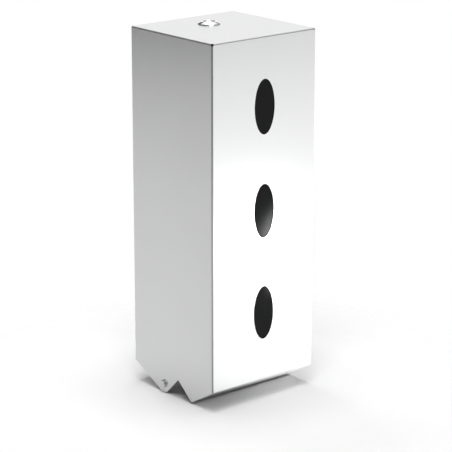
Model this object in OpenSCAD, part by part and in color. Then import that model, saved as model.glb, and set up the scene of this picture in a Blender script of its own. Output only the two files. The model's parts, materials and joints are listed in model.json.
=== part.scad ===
// Wall dispenser for three toilet rolls. A folded steel cover with three oval windows swings
// forward and down from a wall plate, which carries two slotted guides and three spindles.
// Millimetres, +Z up, -Y to the front. The origin is the middle of the four wall screw slots,
// on the plane of the wall.

/* [Paper rolls] */
// Largest roll diameter that fits
roll_d = 120; // [112:1:126]
// Largest roll width that fits
roll_w = 105; // [98:1:112]
// Gap between two full rolls, one above the other
roll_gap = 1.4; // [1:0.1:4]

/* [Space around the rolls] */
// From the wall plate to a full roll
roll_back_gap = 8.5; // [6:0.5:12]
// From a full roll to the outside of the front
roll_front_gap = 14; // [12:0.5:20]
// From the top roll to the outside of the top
roll_top_gap = 20.2; // [20:0.1:30]
// From the underside of the lowest roll to the lower edge of the front
roll_foot_gap = 21.5; // [18:0.5:30]
// From the end of a roll to its guide
roll_side_gap = 5.5; // [5:0.5:9]
// From a guide to the inside of the cover
guide_side_gap = 16; // [14:0.5:22]

/* [Cover] */
// Thickness of the cover sheet
cover_t = 1; // [0.8:0.1:1.4]
// Outside radius of the cover's folds
cover_bend_r = 1.8; // [1.6:0.1:3]
// Gap from the wall to the rear edges of the cover
wall_gap = 0.5; // [0.3:0.1:1.5]
// Height of the open seam at the top of each front corner
corner_seam_h = 7; // [5:0.5:10]
// Horizontal run of the sloped lower lip
lip_run = 38.5; // [30:0.5:42]
// Drop of the lip below the front's lower edge
lip_drop = 22; // [16:0.5:24]
// How far the rear corner of a side is above the front's lower edge
rear_corner_rise = 2.5; // [1:0.5:6]
// Height of the top of the side notch above the hinge
notch_rise = 12.5; // [9:0.5:14]
// Slope of the rear edge of the side notch, in degrees
notch_slope = 45; // [40:1:50]

/* [Windows] */
// Width of a window
window_w = 29.6; // [20:0.2:36]
// Height of a window
window_h = 63.8; // [40:0.2:76]
// Thickness of a pane
pane_t = 2; // [1.5:0.1:3]
// How far a pane overlaps its window all round
pane_lap = 14; // [12:0.5:18]

/* [Hinge] */
// From the wall to the hinge axis
hinge_depth = 54; // [48:0.5:60]
// From the front's lower edge down to the hinge axis
hinge_drop = 13.5; // [10:0.5:16]
// Radius of the rounded lobe of each side around the hinge
lobe_r = 10.5; // [9:0.5:13]
// Diameter of the hinge pin
hinge_pin_d = 6; // [4:0.5:7]
// Diameter of the head of the hinge pin
hinge_head_d = 9.2; // [8.4:0.2:14]
// Height of the head of the hinge pin
hinge_head_h = 2.8; // [2:0.1:5]

/* [Lock] */
// From the wall to the axis of the lock
lock_depth = 46.5; // [42:0.5:50]
// Diameter of the lock's bezel
bezel_d = 26; // [22:0.5:30]
// Height of the lock's bezel
bezel_h = 3; // [2.6:0.1:5]
// Diameter of the lock's threaded barrel
barrel_d = 18; // [16:0.5:19]
// Length of the barrel below the top
barrel_l = 13.5; // [12:0.5:14]
// Diameter of the turning face of the lock
plug_face_d = 14; // [12:0.5:15]
// Length of the cam from the lock's axis
cam_l = 28; // [22:0.5:30]
// Width of the cam
cam_w = 14; // [10:0.5:15]

/* [Wall plate] */
// Thickness of the wall plate
plate_t = 1.5; // [1.2:0.1:2]
// Depth of the wall plate's top flange
top_flange_l = 22; // [20:0.5:26]
// Depth of the wall plate's side flanges
side_flange_l = 12; // [8:0.5:20]
// Distance between the wall screws from side to side
screw_spacing_x = 80; // [60:1:90]
// Distance between the wall screws from top to bottom
screw_spacing_z = 300; // [240:5:320]
// Width of a wall screw slot
screw_slot_w = 6.5; // [5:0.5:8]
// Length of a wall screw slot
screw_slot_l = 12; // [10:0.5:18]

/* [Guides and spindles] */
// Thickness of a guide
guide_t = 1.5; // [1.2:0.1:2]
// From the axis of the rolls to the front edge of a guide
guide_reach = 22; // [18:1:28]
// Diameter of an axle
axle_d = 8; // [6:0.5:9]
// Diameter of the bushing's hub, which runs in the guide's slot
bushing_d = 12; // [11:0.5:14]
// Diameter of the bushing's flanges
bushing_flange_d = 19; // [17:0.5:22]
// Diameter of a roller without its ribs
roller_d = 28; // [24:0.5:32]
// Height of the ribs that grip the paper roll's core
roller_rib_h = 1; // [0.5:0.1:2]
// Number of ribs around a roller
roller_ribs = 6; // [4:1:8]

/* [Hidden] */
$fn = 64;
arc_steps = 8;
window_steps = 96;

// Clearances
overrun = 1;
run_gap = 0.08;
hole_gap = 0.1;
move_gap = 0.3;

// Overall sizes of the cover
roll_pitch = roll_d + roll_gap;
roll_top_drop = roll_top_gap + roll_d / 2;
cover_h = roll_top_drop + 2 * roll_pitch + roll_d / 2 + roll_foot_gap;
cover_d = plate_t + roll_back_gap + roll_d + roll_front_gap;
guide_x = roll_w / 2 + roll_side_gap;
cover_w = 2 * (guide_x + guide_t + guide_side_gap + cover_t);
cover_in_x = cover_w / 2 - cover_t;

// Levels and planes
top_z = cover_h / 2;
foot_z = top_z - cover_h;
front_y = -cover_d;
rear_y = -wall_gap;
roll_y = -(plate_t + roll_back_gap + roll_d / 2);
hinge_y = -hinge_depth;
hinge_z = foot_z - hinge_drop;
rear_corner_z = foot_z + rear_corner_rise;
low_z = hinge_z - 2 * lobe_r;

// Foot of the cover's sides
lip_corner_r = 3;
notch_corner_r = 2;
lip_setback = 2;
lip_slope = atan(lip_drop / lip_run);
lip_y = front_y + lip_run;
lip_z = foot_z - lip_drop;
lip_end_y = lip_y - lip_setback;
seam_w = 0.35;
seam_depth = 2.5;
relief_d = 2.8;
relief_depth = 2.2;
relief_breakout = 0.2;

// Panes, studs and clips
window_rows = 3;
stud_d = 3;
stud_lap = 7;
stud_x = window_w / 2 + stud_lap;
stud_l = 4.5;
pane_corner_r = 6;
clip_d = 9;
clip_t = 0.8;

// Hinge
washer_d = 14;
washer_t = 0.6;
side_gap = washer_t + move_gap;
head_chamfer = 0.5;
retainer_d = 11;
retainer_t = 0.9;
pin_end_l = 0.8;
ear_inset = 2.2;
ear_r = lobe_r - ear_inset;
ear_h = 56;

// Lock
lock_y = -lock_depth;
bezel_rim_h = 0.3 * bezel_h;
bezel_slope_l = 3.8;
plug_face_t = 1.7;
plug_sink = 0.8;
pocket_h = bezel_h - plug_sink - plug_face_t - move_gap;
plug_step = 1.5;
plug_d = plug_face_d - 2 * plug_step;
key_w = 1.6;
key_l = 8;
key_depth = 5;
nut_wall = 2.5;
nut_across = barrel_d + 2 * nut_wall;
nut_corner_r = nut_across / 2 / cos(30);
nut_h = 4;
cam_t = 2;
cam_corner_r = 3;
cam_z = top_z - barrel_l - move_gap;
tang_w = 7;
cam_screw_d = 4;
cam_screw_l = 7;
cam_head_d = 9;
cam_head_h = 2.3;

// Wall plate
plate_x = cover_in_x - side_gap;
plate_bend_r = 2.5;
top_flange_gap = 2;
top_flange_z = top_z - cover_t - top_flange_gap;
top_flange_relief = 4;
fold_relief_h = 7.5;
plate_foot_z = rear_corner_z + ear_inset;
side_flange_top_z = top_flange_z - fold_relief_h;
buffer_d = 10;
buffer_inset = 24;
buffer_h = top_flange_gap - move_gap;

// Catch behind which the cam turns
catch_t = 2;
catch_w = 18;
catch_gap = 0.4;
catch_bend_r = 3;
catch_nut_gap = 2;
catch_x = nut_corner_r + catch_nut_gap;
catch_tab_y = lock_y - cam_w / 2 - catch_gap;
catch_z = top_flange_z - plate_t;
catch_foot_z = cam_z - cam_t - cam_head_h;
catch_heel_y = -(plate_t + plate_bend_r);

// Rivets
rivet_d = 4;
rivet_head_d = 7;
rivet_head_h = 1.4;
catch_head_h = 1.2;
guide_rivet_rows = 4;

// Guides and spindles
bushing_flange_t = 1.3;
bushing_end_l = 2;
slot_r = bushing_d / 2 + move_gap;
slot_end_r = slot_r - move_gap;
mouth_corner_r = 3;
guide_bend_r = 2.5;
guide_rear_flange_l = 14;
guide_front_flange_l = 8;
guide_depth = guide_reach - roll_y;
guide_foot_web = 14;
guide_head_web = 10;
spindle_lift = 6;
mouth_rise = 12;
seat_z = top_z - roll_top_drop - 2 * roll_pitch;
channel_top_z = top_z - roll_top_drop + spindle_lift;
mouth_z = channel_top_z + mouth_rise;
guide_foot_z = seat_z - slot_r - guide_foot_web;
guide_top_z = mouth_z + slot_r + guide_head_web;
rivet_x = guide_x + guide_rear_flange_l / 2 + guide_t / 2;
rivet_end_gap = 20;
roller_wall = 2.2;
roller_end_t = 4;
roller_hub_d = 14;
roller_end_gap = 0.5;
roller_rib_w = 2.4;
roller_rib_inset = 1.5;
roller_half_l = roll_w / 2 - roller_end_gap;
roller_hub_x = guide_x - move_gap - bushing_flange_t - roller_end_gap;
spindle_pitch = roller_d + 2 * roller_rib_h + move_gap;
axle_half_l = guide_x + guide_t + move_gap + bushing_flange_t + bushing_end_l;
axle_chamfer = 0.8;

steel = "#c6c8ca";
plated = "#dcdee0";
dark_steel = "#a9acae";
smoke = "#26272a";
black_plastic = "#1d1e20";
nylon = "#e8e6df";
rubber = "#202020";

// A vector of length one along v
function unit(v) = v / norm(v);

// The arc of radius r that rounds the corner at, between the points before and after it
function corner_arc(before, at, after, r) =
    let (
        a = unit(before - at),
        b = unit(after - at),
        half = acos(a * b) / 2,
        middle = at + unit(a + b) * r / sin(half),
        from = at + a * r / tan(half) - middle,
        to = at + b * r / tan(half) - middle,
        sweep = sign(cross(from, to)) * (180 - 2 * half)
    )
    [for (i = [0 : arc_steps])
        let (t = sweep * i / arc_steps)
        middle + [from.x * cos(t) - from.y * sin(t), from.x * sin(t) + from.y * cos(t)]];

// The points of an outline from its corners, each [x, y, radius]
function rounded(corners) =
    let (
        n = len(corners),
        at = [for (c = corners) [c.x, c.y]]
    )
    [for (i = [0 : n - 1])
        each corners[i].z == 0
            ? [at[i]]
            : corner_arc(at[(i + n - 1) % n], at[i], at[(i + 1) % n], corners[i].z)];

// Height of window number i, counted down from the top
function window_z(i) = top_z - roll_top_drop - i * roll_pitch;

// Height of spindle number i at rest, counted up from the lowest
function spindle_z(i) = seat_z + i * spindle_pitch;

// An outline drawn in Y and Z, given a thickness along X from the plane x
module along_x(x, thickness) {
    translate([x, 0, 0])
        rotate([90, 0, 90])
            linear_extrude(thickness)
                children();
}

// An outline drawn in X and Z, given a thickness towards the front from the plane y
module along_y(y, thickness) {
    translate([0, y, 0])
        rotate([90, 0, 0])
            linear_extrude(thickness)
                children();
}

// A round bar along X from x, with its centre at y and z
module bar_x(x, y, z, d, length) {
    translate([x, y, z])
        rotate([0, 90, 0])
            cylinder(d = d, h = length);
}

// A round bar towards the front from y, with its centre at x and z
module bar_y(x, y, z, d, length) {
    translate([x, y, z])
        rotate([90, 0, 0])
            cylinder(d = d, h = length);
}

// The same piece on both sides of the middle
module both_sides() {
    children();
    mirror([1, 0, 0])
        children();
}

// Corner at which the two lower edges of the hinge lobe would meet
function lobe_corner() =
    let (
        hinge = [hinge_y, hinge_z],
        rear = [rear_y, rear_corner_z],
        reach = norm(rear - hinge),
        dip = atan((rear.y - hinge.y) / (rear.x - hinge.x)) + asin(lobe_r / reach),
        rear_normal = [sin(dip), -cos(dip)],
        notch_normal = [-sin(notch_slope), -cos(notch_slope)]
    )
    hinge + (rear_normal + notch_normal) * lobe_r / (1 + rear_normal * notch_normal);

// Outline of the cover seen from the side
module cover_side_outline() {
    lobe = lobe_corner();
    notch_z = hinge_z + notch_rise;
    notch_y = lobe.x - (notch_z - lobe.y) / tan(notch_slope);
    polygon(rounded([
        [rear_y, top_z, 0],
        [front_y, top_z, cover_bend_r],
        [front_y, foot_z, cover_bend_r],
        [lip_y, lip_z, lip_corner_r],
        [notch_y, notch_z, notch_corner_r],
        [lobe.x, lobe.y, lobe_r],
        [rear_y, rear_corner_z, 0]
    ]));
}

// Outline of the space inside the cover seen from the side, open to the wall and the floor
module cover_inside_outline() {
    in_y = front_y + cover_t;
    lip_in = cover_t / cos(lip_slope);
    polygon(rounded([
        [overrun, top_z - cover_t, 0],
        [in_y, top_z - cover_t, cover_bend_r - cover_t],
        [in_y, foot_z + lip_in - cover_t * tan(lip_slope), cover_bend_r - cover_t],
        [lip_end_y, foot_z + lip_in - (lip_end_y - front_y) * tan(lip_slope), 0],
        [lip_end_y, low_z, 0],
        [overrun, low_z, 0]
    ]));
}

// Outline of the cover seen from above, with its front corners rounded by r
module cover_plan(half_w, y, back, r) {
    polygon(rounded([
        [-half_w, back, 0],
        [-half_w, y, r],
        [half_w, y, r],
        [half_w, back, 0]
    ]));
}

// Outline of the cover seen from the front, with its top corners rounded by r
module cover_front_outline(half_w, z, r) {
    polygon(rounded([
        [-half_w, low_z, 0],
        [-half_w, z, r],
        [half_w, z, r],
        [half_w, low_z, 0]
    ]));
}

// The cover as a full block with round folds
module cover_block() {
    half_w = cover_w / 2;
    intersection() {
        translate([0, 0, low_z])
            linear_extrude(top_z - low_z)
                cover_plan(half_w, front_y, rear_y, cover_bend_r);
        along_y(rear_y, cover_d)
            cover_front_outline(half_w, top_z, cover_bend_r);
        along_x(-half_w, cover_w)
            cover_side_outline();
    }
}

// The space inside the cover
module cover_inside() {
    fold_r = cover_bend_r - cover_t;
    intersection() {
        translate([0, 0, low_z - overrun])
            linear_extrude(top_z - low_z + overrun)
                cover_plan(cover_in_x, front_y + cover_t, overrun, fold_r);
        along_y(overrun, cover_d + overrun)
            cover_front_outline(cover_in_x, top_z - cover_t, fold_r);
        along_x(-cover_w / 2, cover_w)
            cover_inside_outline();
    }
}

// An upright oval with its centre at the origin
module window_outline() {
    polygon([for (i = [0 : window_steps - 1])
        let (t = 360 * i / window_steps)
        [window_w / 2 * cos(t), window_h / 2 * sin(t)]]);
}

// The open seam and the relief hole where three folds meet at a front corner
module corner_relief() {
    inset = relief_d / 2 - relief_breakout;
    translate([-cover_w / 2, front_y, top_z]) {
        translate([0, 0, -corner_seam_h])
            rotate([0, 0, 45])
                translate([-seam_depth, -seam_w / 2, 0])
                    cube([2 * seam_depth, seam_w, corner_seam_h + overrun]);
        translate([inset, inset, -relief_depth])
            cylinder(d = relief_d, h = relief_depth + overrun);
    }
}

// Two studs beside each window, welded inside the front
module pane_studs() {
    for (i = [0 : window_rows - 1])
        both_sides()
            bar_y(stud_x, front_y + cover_t + stud_l, window_z(i), stud_d, stud_l + cover_t / 2);
}

module cover_shell() {
    color(steel) {
        difference() {
            cover_block();
            cover_inside();
            for (i = [0 : window_rows - 1])
                translate([0, 0, window_z(i)])
                    along_y(front_y + cover_t + overrun, cover_t + 2 * overrun)
                        window_outline();
            translate([0, lock_y, top_z - cover_t - overrun])
                cylinder(d = barrel_d + 2 * hole_gap, h = cover_t + 2 * overrun);
            bar_x(-cover_w / 2 - overrun, hinge_y, hinge_z, hinge_pin_d + 2 * run_gap, cover_w + 2 * overrun);
            both_sides()
                corner_relief();
        }
        pane_studs();
    }
}

// The pane behind window number i
module window_pane(i) {
    half_w = window_w / 2 + pane_lap;
    half_h = window_h / 2 + pane_lap / 2;
    color(smoke)
        translate([0, 0, window_z(i)])
            difference() {
                along_y(front_y + cover_t + pane_t, pane_t)
                    polygon(rounded([
                        [-half_w, -half_h, pane_corner_r],
                        [half_w, -half_h, pane_corner_r],
                        [half_w, half_h, pane_corner_r],
                        [-half_w, half_h, pane_corner_r]
                    ]));
                both_sides()
                    bar_y(stud_x, front_y + cover_t + pane_t + overrun, 0, stud_d, pane_t + 2 * overrun);
            }
}

module pane_clips() {
    color(dark_steel)
        for (i = [0 : window_rows - 1])
            both_sides()
                difference() {
                    bar_y(stud_x, front_y + cover_t + pane_t + clip_t, window_z(i), clip_d, clip_t);
                    bar_y(stud_x, front_y + cover_t + pane_t + clip_t + overrun, window_z(i),
                        stud_d, clip_t + 2 * overrun);
                }
}

module lock_body() {
    face_r = plug_face_d / 2 + run_gap;
    bore_r = plug_d / 2 + run_gap;
    color(plated)
        translate([0, lock_y, top_z])
            rotate_extrude()
                polygon([
                    [bore_r, -barrel_l],
                    [barrel_d / 2, -barrel_l],
                    [barrel_d / 2, 0],
                    [bezel_d / 2, 0],
                    [bezel_d / 2, bezel_rim_h],
                    [bezel_d / 2 - bezel_slope_l, bezel_h],
                    [face_r, bezel_h],
                    [face_r, pocket_h],
                    [bore_r, pocket_h]
                ]);
}

module lock_nut() {
    color(dark_steel)
        translate([0, lock_y, top_z - cover_t - nut_h])
            difference() {
                cylinder(r = nut_corner_r, h = nut_h, $fn = 6);
                translate([0, 0, -overrun])
                    cylinder(d = barrel_d, h = nut_h + 2 * overrun);
            }
}

// The turning middle of the lock, with the square tang that carries the cam
module lock_plug() {
    face_z = top_z + pocket_h + move_gap;
    tang_z = cam_z - cam_t;
    color(plated)
        translate([0, lock_y, 0])
            difference() {
                union() {
                    translate([0, 0, face_z])
                        cylinder(d = plug_face_d, h = plug_face_t);
                    translate([0, 0, cam_z])
                        cylinder(d = plug_d, h = face_z + plug_face_t / 2 - cam_z);
                    translate([-tang_w / 2, -tang_w / 2, tang_z])
                        cube([tang_w, tang_w, 2 * cam_t]);
                }
                translate([-key_w / 2, -key_l / 2, face_z + plug_face_t - key_depth])
                    cube([key_w, key_l, key_depth + overrun]);
                translate([0, 0, tang_z - overrun])
                    cylinder(d = cam_screw_d, h = cam_screw_l + overrun);
            }
}

// The cam, turned to the rear: the cover is unlocked
module lock_cam() {
    color(dark_steel)
        translate([0, lock_y, cam_z - cam_t])
            linear_extrude(cam_t)
                difference() {
                    union() {
                        circle(d = cam_w);
                        polygon(rounded([
                            [-cam_w / 2, 0, 0],
                            [cam_w / 2, 0, 0],
                            [cam_w / 2, cam_l, cam_corner_r],
                            [-cam_w / 2, cam_l, cam_corner_r]
                        ]));
                    }
                    square(tang_w, center = true);
                }
}

module cam_screw() {
    head_z = cam_z - cam_t - cam_head_h;
    color(plated)
        translate([0, lock_y, head_z]) {
            cylinder(d = cam_head_d, h = cam_head_h);
            cylinder(d = cam_screw_d, h = cam_head_h + cam_screw_l);
        }
}

// Outline of a side flange of the wall plate, which widens into the hinge ear at its foot
module side_flange_outline() {
    ear_top_z = plate_foot_z + ear_h;
    polygon([
        [0, plate_foot_z],
        [0, side_flange_top_z],
        [-side_flange_l, side_flange_top_z],
        [-side_flange_l, ear_top_z],
        [hinge_y - ear_r, hinge_z],
        [hinge_y, hinge_z]
    ]);
    translate([hinge_y, hinge_z])
        circle(ear_r);
    ear_lower_edge();
}

// The strip from the foot of the wall plate to the underside of the hinge lobe
module ear_lower_edge() {
    hinge = [hinge_y, hinge_z];
    foot = [0, plate_foot_z];
    reach = norm(foot - hinge);
    dip = atan((foot.y - hinge.y) / (foot.x - hinge.x)) + asin(ear_r / reach);
    polygon([foot, hinge, hinge + ear_r * [sin(dip), -cos(dip)]]);
}

// The wall plate and its side flanges, folded from one sheet
module plate_channel() {
    fold_r = plate_bend_r - plate_t;
    reach = hinge_depth + ear_r + overrun;
    intersection() {
        translate([0, 0, low_z])
            linear_extrude(top_z - low_z)
                polygon(rounded([
                    [-plate_x, 0, plate_bend_r],
                    [-plate_x, -reach, 0],
                    [plate_t - plate_x, -reach, 0],
                    [plate_t - plate_x, -plate_t, fold_r],
                    [plate_x - plate_t, -plate_t, fold_r],
                    [plate_x - plate_t, -reach, 0],
                    [plate_x, -reach, 0],
                    [plate_x, 0, plate_bend_r]
                ]));
        along_x(-plate_x, 2 * plate_x)
            side_flange_outline();
    }
}

// The upper end of the wall plate with its forward flange
module plate_head() {
    half_w = plate_x - top_flange_relief;
    along_x(-half_w, 2 * half_w)
        polygon(rounded([
            [0, side_flange_top_z, 0],
            [0, top_flange_z, plate_bend_r],
            [-top_flange_l, top_flange_z, 0],
            [-top_flange_l, top_flange_z - plate_t, 0],
            [-plate_t, top_flange_z - plate_t, plate_bend_r - plate_t],
            [-plate_t, side_flange_top_z, 0]
        ]));
}

// A level slot with round ends for a wall screw
module screw_slot_outline() {
    run = screw_slot_l - screw_slot_w;
    square([run, screw_slot_w], center = true);
    for (side = [-1, 1])
        translate([side * run / 2, 0])
            circle(d = screw_slot_w);
}

module back_plate() {
    color(steel)
        difference() {
            union() {
                plate_channel();
                plate_head();
            }
            for (x = [-1, 1] * screw_spacing_x / 2)
                for (z = [-1, 1] * screw_spacing_z / 2)
                    translate([x, 0, z])
                        along_y(overrun, plate_t + 2 * overrun)
                            screw_slot_outline();
            bar_x(-plate_x - overrun, hinge_y, hinge_z, hinge_pin_d, 2 * (plate_x + overrun));
            rivet_holes(overrun, plate_t + 2 * overrun);
            catch_rivet_holes();
        }
}

// Heights of the rivets of a guide
function guide_rivet_z(i) =
    let (span = guide_top_z - guide_foot_z - 2 * rivet_end_gap)
    guide_foot_z + rivet_end_gap + span * i / (guide_rivet_rows - 1);

module rivet_holes(y, length) {
    for (i = [0 : guide_rivet_rows - 1])
        both_sides()
            bar_y(rivet_x, y, guide_rivet_z(i), rivet_d, length);
}

module guide_rivets() {
    joint_t = plate_t + guide_t;
    color(plated) {
        rivet_holes(0, joint_t);
        for (i = [0 : guide_rivet_rows - 1])
            both_sides()
                bar_y(rivet_x, -joint_t, guide_rivet_z(i), rivet_head_d, rivet_head_h);
    }
}

// Outline of the right guide seen from above
module guide_plan() {
    fold_r = guide_bend_r - guide_t;
    out_x = guide_x + guide_t;
    polygon(rounded([
        [guide_x + guide_rear_flange_l, -plate_t, 0],
        [guide_x, -plate_t, guide_bend_r],
        [guide_x, -guide_depth, guide_bend_r],
        [guide_x + guide_front_flange_l, -guide_depth, 0],
        [guide_x + guide_front_flange_l, guide_t - guide_depth, 0],
        [out_x, guide_t - guide_depth, fold_r],
        [out_x, -plate_t - guide_t, fold_r],
        [guide_x + guide_rear_flange_l, -plate_t - guide_t, 0]
    ]));
}

// Outline of a guide's slot, which drops from a mouth in the front edge down to the seat
module guide_slot_outline() {
    front = -guide_depth - overrun;
    rear = roll_y + slot_r;
    inner = roll_y - slot_r;
    mouth_tan = mouth_rise / (guide_depth + roll_y);
    half_mouth = slot_r * sqrt(1 + mouth_tan * mouth_tan);
    polygon(rounded([
        [rear, seat_z - slot_r, slot_end_r],
        [inner, seat_z - slot_r, slot_end_r],
        [inner, channel_top_z + slot_r * mouth_tan - half_mouth, mouth_corner_r],
        [front, channel_top_z + (roll_y - front) * mouth_tan - half_mouth, 0],
        [front, channel_top_z + (roll_y - front) * mouth_tan + half_mouth, 0],
        [rear, channel_top_z - slot_r * mouth_tan + half_mouth, slot_end_r]
    ]));
}

// The right guide: a folded plate with a slot that drops from a mouth in its front edge
module guide() {
    color(steel)
        difference() {
            translate([0, 0, guide_foot_z])
                linear_extrude(guide_top_z - guide_foot_z)
                    guide_plan();
            along_x(guide_x - overrun, guide_front_flange_l + 2 * overrun)
                guide_slot_outline();
            rivet_holes(overrun, plate_t + guide_t + 2 * overrun);
        }
}

module right_guide() {
    guide();
}

module left_guide() {
    mirror([1, 0, 0])
        guide();
}

// Places of the two rivets that hold the catch
function catch_rivet_x() = catch_x + catch_w / 2;
function catch_rivet_y(i) =
    let (inset = rivet_head_d / 2 + move_gap)
    i == 0 ? catch_heel_y - inset : inset - top_flange_l;

module catch_rivet_holes() {
    for (i = [0, 1])
        translate([catch_rivet_x(), catch_rivet_y(i), catch_z - catch_t - overrun])
            cylinder(d = rivet_d, h = catch_t + plate_t + 2 * overrun);
}

module catch_rivets() {
    color(plated)
        for (i = [0, 1])
            translate([catch_rivet_x(), catch_rivet_y(i), catch_z - catch_t]) {
                cylinder(d = rivet_d, h = catch_t + plate_t);
                translate([0, 0, catch_t + plate_t])
                    cylinder(d = rivet_head_d, h = catch_head_h);
                translate([0, 0, -catch_head_h])
                    cylinder(d = rivet_head_d, h = catch_head_h);
            }
}

// The bracket under the top flange, whose tab stands in front of the turned cam
module lock_catch() {
    front = catch_tab_y - catch_t;
    color(dark_steel)
        difference() {
            along_x(catch_x, catch_w)
                polygon(rounded([
                    [catch_heel_y, catch_z, 0],
                    [front, catch_z, catch_bend_r],
                    [front, catch_foot_z, 0],
                    [catch_tab_y, catch_foot_z, 0],
                    [catch_tab_y, catch_z - catch_t, catch_bend_r - catch_t],
                    [catch_heel_y, catch_z - catch_t, 0]
                ]));
            catch_rivet_holes();
        }
}

module cover_buffers() {
    color(rubber)
        both_sides()
            translate([plate_x - buffer_inset, -top_flange_l / 2, top_flange_z])
                cylinder(d = buffer_d, h = buffer_h);
}

// The right hinge pin: its head is outside the cover, its shank passes through the hinge ear
module hinge_pin() {
    head_x = cover_w / 2 + move_gap;
    shank_x = plate_x - plate_t - retainer_t - pin_end_l;
    color(plated)
        translate([0, hinge_y, hinge_z])
            rotate([0, 90, 0])
                rotate_extrude()
                    polygon([
                        [0, shank_x],
                        [hinge_pin_d / 2, shank_x],
                        [hinge_pin_d / 2, head_x],
                        [hinge_head_d / 2, head_x],
                        [hinge_head_d / 2, head_x + hinge_head_h - head_chamfer],
                        [hinge_head_d / 2 - head_chamfer, head_x + hinge_head_h],
                        [0, head_x + hinge_head_h]
                    ]);
}

module right_hinge_pin() {
    hinge_pin();
}

module left_hinge_pin() {
    mirror([1, 0, 0])
        hinge_pin();
}

// A flat ring on the hinge pin, from x outwards
module hinge_ring(x, d, thickness) {
    difference() {
        bar_x(x, hinge_y, hinge_z, d, thickness);
        bar_x(x - overrun, hinge_y, hinge_z, hinge_pin_d, thickness + 2 * overrun);
    }
}

module hinge_washers() {
    color(nylon)
        both_sides()
            hinge_ring(plate_x, washer_d, washer_t);
}

module pin_retainers() {
    color(dark_steel)
        both_sides()
            hinge_ring(plate_x - plate_t - retainer_t, retainer_d, retainer_t);
}

// The steel rod of spindle number i
module axle(i) {
    color(plated)
        translate([0, roll_y, spindle_z(i)])
            rotate([0, 90, 0])
                rotate_extrude()
                    polygon([
                        [0, -axle_half_l],
                        [axle_d / 2 - axle_chamfer, -axle_half_l],
                        [axle_d / 2, axle_chamfer - axle_half_l],
                        [axle_d / 2, axle_half_l - axle_chamfer],
                        [axle_d / 2 - axle_chamfer, axle_half_l],
                        [0, axle_half_l]
                    ]);
}

// The two flanged bushings of spindle number i, whose hubs run in the guides' slots
module bushings(i) {
    in_x = guide_x - move_gap - bushing_flange_t;
    out_x = guide_x + guide_t + move_gap;
    color(nylon)
        both_sides()
            difference() {
                union() {
                    bar_x(in_x, roll_y, spindle_z(i), bushing_flange_d, bushing_flange_t);
                    bar_x(in_x, roll_y, spindle_z(i), bushing_d, out_x - in_x);
                    bar_x(out_x, roll_y, spindle_z(i), bushing_flange_d, bushing_flange_t);
                }
                bar_x(in_x - overrun, roll_y, spindle_z(i), axle_d,
                    out_x - in_x + bushing_flange_t + 2 * overrun);
            }
}

// The ribbed tube of spindle number i, which turns on the axle inside the roll's core
module roller(i) {
    rib_half_l = roller_half_l - roller_rib_inset;
    rib_root_r = (roller_d - roller_wall) / 2;
    roller_top_r = roller_d / 2 + roller_rib_h;
    bore_d = axle_d + 2 * run_gap;
    cavity_l = 2 * (roller_half_l - roller_end_t);
    color(black_plastic)
        difference() {
            union() {
                bar_x(-roller_half_l, roll_y, spindle_z(i), roller_d, 2 * roller_half_l);
                bar_x(-roller_hub_x, roll_y, spindle_z(i), roller_hub_d, 2 * roller_hub_x);
                for (k = [0 : roller_ribs - 1])
                    translate([0, roll_y, spindle_z(i)])
                        rotate([360 * k / roller_ribs, 0, 0])
                            translate([-rib_half_l, -roller_rib_w / 2, rib_root_r])
                                cube([2 * rib_half_l, roller_rib_w, roller_top_r - rib_root_r]);
            }
            bar_x(-roller_hub_x - overrun, roll_y, spindle_z(i), bore_d, 2 * (roller_hub_x + overrun));
            bar_x(-cavity_l / 2, roll_y, spindle_z(i), roller_d - 2 * roller_wall, cavity_l);
        }
}

back_plate();
left_guide();
right_guide();
guide_rivets();
lock_catch();
catch_rivets();
cover_buffers();
left_hinge_pin();
right_hinge_pin();
hinge_washers();
pin_retainers();
cover_shell();
window_pane(0);  // window_pane_top
window_pane(1);  // window_pane_middle
window_pane(2);  // window_pane_bottom
pane_clips();
lock_body();
lock_nut();
lock_plug();
lock_cam();
cam_screw();
axle(0);  // lower_axle
axle(1);  // middle_axle
axle(2);  // top_axle
bushings(0);  // lower_bushings
bushings(1);  // middle_bushings
bushings(2);  // top_bushings
roller(0);  // lower_roller
roller(1);  // middle_roller
roller(2);  // top_roller
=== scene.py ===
"""Looks of the wall dispenser for three toilet rolls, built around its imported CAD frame.

Metres, in the frame of the CAD: +Z up, -Y to the front, the wall at Y = 0.
"""
import json
import math

import bmesh
import bpy
from mathutils import Matrix, Vector


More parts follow.
